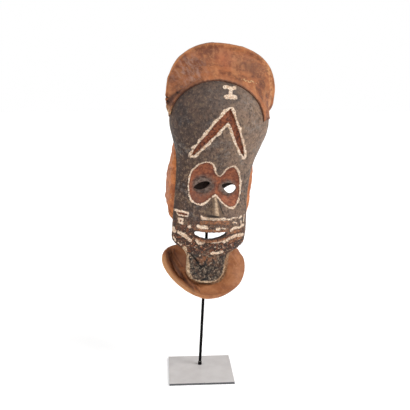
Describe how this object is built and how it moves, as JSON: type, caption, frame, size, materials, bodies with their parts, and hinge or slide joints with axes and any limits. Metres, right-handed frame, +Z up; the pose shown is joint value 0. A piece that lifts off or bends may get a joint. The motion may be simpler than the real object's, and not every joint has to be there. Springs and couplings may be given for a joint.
{
  "type": "dance mask on stand",
  "caption": "Long-faced helmet mask of dark moulded resin with red-brown barkcloth hood, back and collar, on a leaning rod and square base plate.",
  "frame": {"origin": "centre of the base plate's underside", "axes": "+Z up; +X and +Y along the plate's sides; the front of the stand is -Y, and the face looks to the front, turned a little to +X and leaning over to +X"},
  "size_m": [0.2443, 0.1939, 0.7155],
  "materials": {
    "face_resin": "dark grey-brown resin, blotchy and matte, with cream, red-brown and orange-brown painted marks",
    "hood_barkcloth": "stiff red-brown barkcloth, mottled, lightly burnished",
    "back_barkcloth": "stiff orange-red barkcloth, matte",
    "collar_barkcloth": "stiff orange-brown barkcloth, lightly burnished",
    "grey_metal": "light grey satin",
    "black_metal": "black satin"
  },
  "bodies": {
    "root": {"face_shell": "face_resin", "hood_brim": "hood_barkcloth", "back_cloth": "back_barkcloth", "collar": "collar_barkcloth", "base_plate": "grey_metal", "rod_socket": "black_metal", "rod": "black_metal"}
  },
  "joints": []
}
